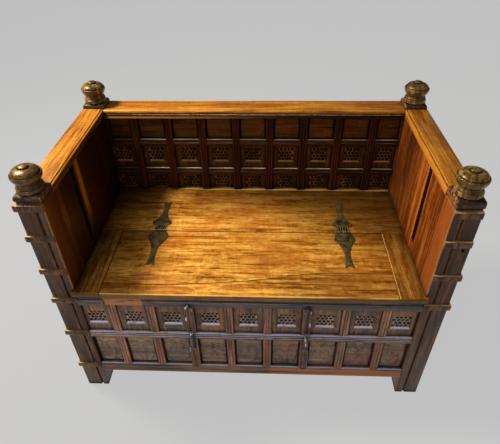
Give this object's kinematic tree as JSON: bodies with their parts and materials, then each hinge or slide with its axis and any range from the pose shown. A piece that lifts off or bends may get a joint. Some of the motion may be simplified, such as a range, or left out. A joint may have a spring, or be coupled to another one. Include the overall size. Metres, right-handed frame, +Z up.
{
  "type": "settle bench",
  "caption": "Carved wooden settle with board arms, a panelled back and turned finials; part of the seat is the hinged lid of a chest with hanging hasps.",
  "frame": {"origin": "on the floor, under the middle of the outer box", "axes": "+X to the right as seen from the front, +Y to the back, +Z up"},
  "size_m": [1.162, 0.635, 0.887],
  "materials": {
    "dark_wood": "dark umber, waxed, worn edges",
    "brown_wood": "reddish brown, waxed",
    "gold_wood": "honey brown, polished by use",
    "plain_wood": "rough sawn, unpolished",
    "bronze": "dull olive brown, worn",
    "iron": "forged, dark, worn bright on the turns"
  },
  "bodies": {
    "bench": {"arm_rail_left": "gold_wood", "arm_rail_right": "gold_wood", "back_cap_rail": "gold_wood", "back_crown_moulding": "dark_wood", "back_high_tile_board": "dark_wood", "back_lattice": "dark_wood", "back_low_tile_board": "dark_wood", "back_plain_board": "dark_wood", "back_rear_plank": "plain_wood", "chest_floor": "plain_wood", "chest_rear_wall": "plain_wood", "finial_front_left": "dark_wood", "finial_front_right": "dark_wood", "finial_rear_left": "dark_wood", "finial_rear_right": "dark_wood", "front_bottom_rail": "dark_wood", "front_field_board": "dark_wood", "front_ledge": "dark_wood", "front_mid_rail": "dark_wood", "front_muntin_1": "dark_wood", "front_muntin_2": "dark_wood", "front_muntin_3": "dark_wood", "front_muntin_4": "dark_wood", "front_muntin_5": "dark_wood", "front_muntin_6": "dark_wood", "front_muntin_7": "dark_wood", "front_muntin_8": "dark_wood", "front_tile_board": "dark_wood", "hasp_staple_left": "iron", "hasp_staple_right": "iron", "hinge_pin_left": "bronze", "hinge_pin_right": "bronze", "hinge_rear_leaf_left": "bronze", "hinge_rear_leaf_right": "bronze", "post_front_left": "dark_wood", "post_front_right": "dark_wood", "post_rear_left": "dark_wood", "post_rear_right": "dark_wood", "seat_bearer": "plain_wood", "seat_end_board_left": "gold_wood", "seat_end_board_right": "gold_wood", "seat_rear_board": "gold_wood", "side_plank_front_left": "brown_wood", "side_plank_front_right": "brown_wood", "side_plank_middle_left": "brown_wood", "side_plank_middle_right": "brown_wood", "side_plank_rear_left": "brown_wood", "side_plank_rear_right": "brown_wood", "side_rail_left": "brown_wood", "side_rail_right": "brown_wood"},
    "lid": {"hinge_front_leaf_left": "bronze", "hinge_front_leaf_right": "bronze", "lid_batten_left": "plain_wood", "lid_batten_right": "plain_wood", "lid_front_plank": "gold_wood", "lid_rear_plank": "gold_wood"},
    "hasp_link_left_body": {"hasp_link_left": "iron"},
    "hasp_ring_left_body": {"hasp_ring_left": "iron"},
    "hasp_link_right_body": {"hasp_link_right": "iron"},
    "hasp_ring_right_body": {"hasp_ring_right": "iron"}
  },
  "joints": [
    {"name": "lid_hinge", "type": "hinge", "parent": "bench", "child": "lid", "pos_m": [0, -0.0195, 0.4896], "axis": [-1, 0, 0], "range_deg": [0, 148]},
    {"name": "hasp_link_left_swing", "type": "hinge", "parent": "bench", "child": "hasp_link_left_body", "pos_m": [-0.17583, -0.3095, 0.438], "axis": [-1, 0, 0], "range_deg": [0, 165]},
    {"name": "hasp_ring_left_swing", "type": "hinge", "parent": "hasp_link_left_body", "child": "hasp_ring_left_body", "pos_m": [-0.17583, -0.3095, 0.2502], "axis": [-1, 0, 0], "range_deg": [0, 150]},
    {"name": "hasp_link_right_swing", "type": "hinge", "parent": "bench", "child": "hasp_link_right_body", "pos_m": [0.17583, -0.3095, 0.438], "axis": [-1, 0, 0], "range_deg": [0, 165]},
    {"name": "hasp_ring_right_swing", "type": "hinge", "parent": "hasp_link_right_body", "child": "hasp_ring_right_body", "pos_m": [0.17583, -0.3095, 0.2502], "axis": [-1, 0, 0], "range_deg": [0, 150]}
  ]
}
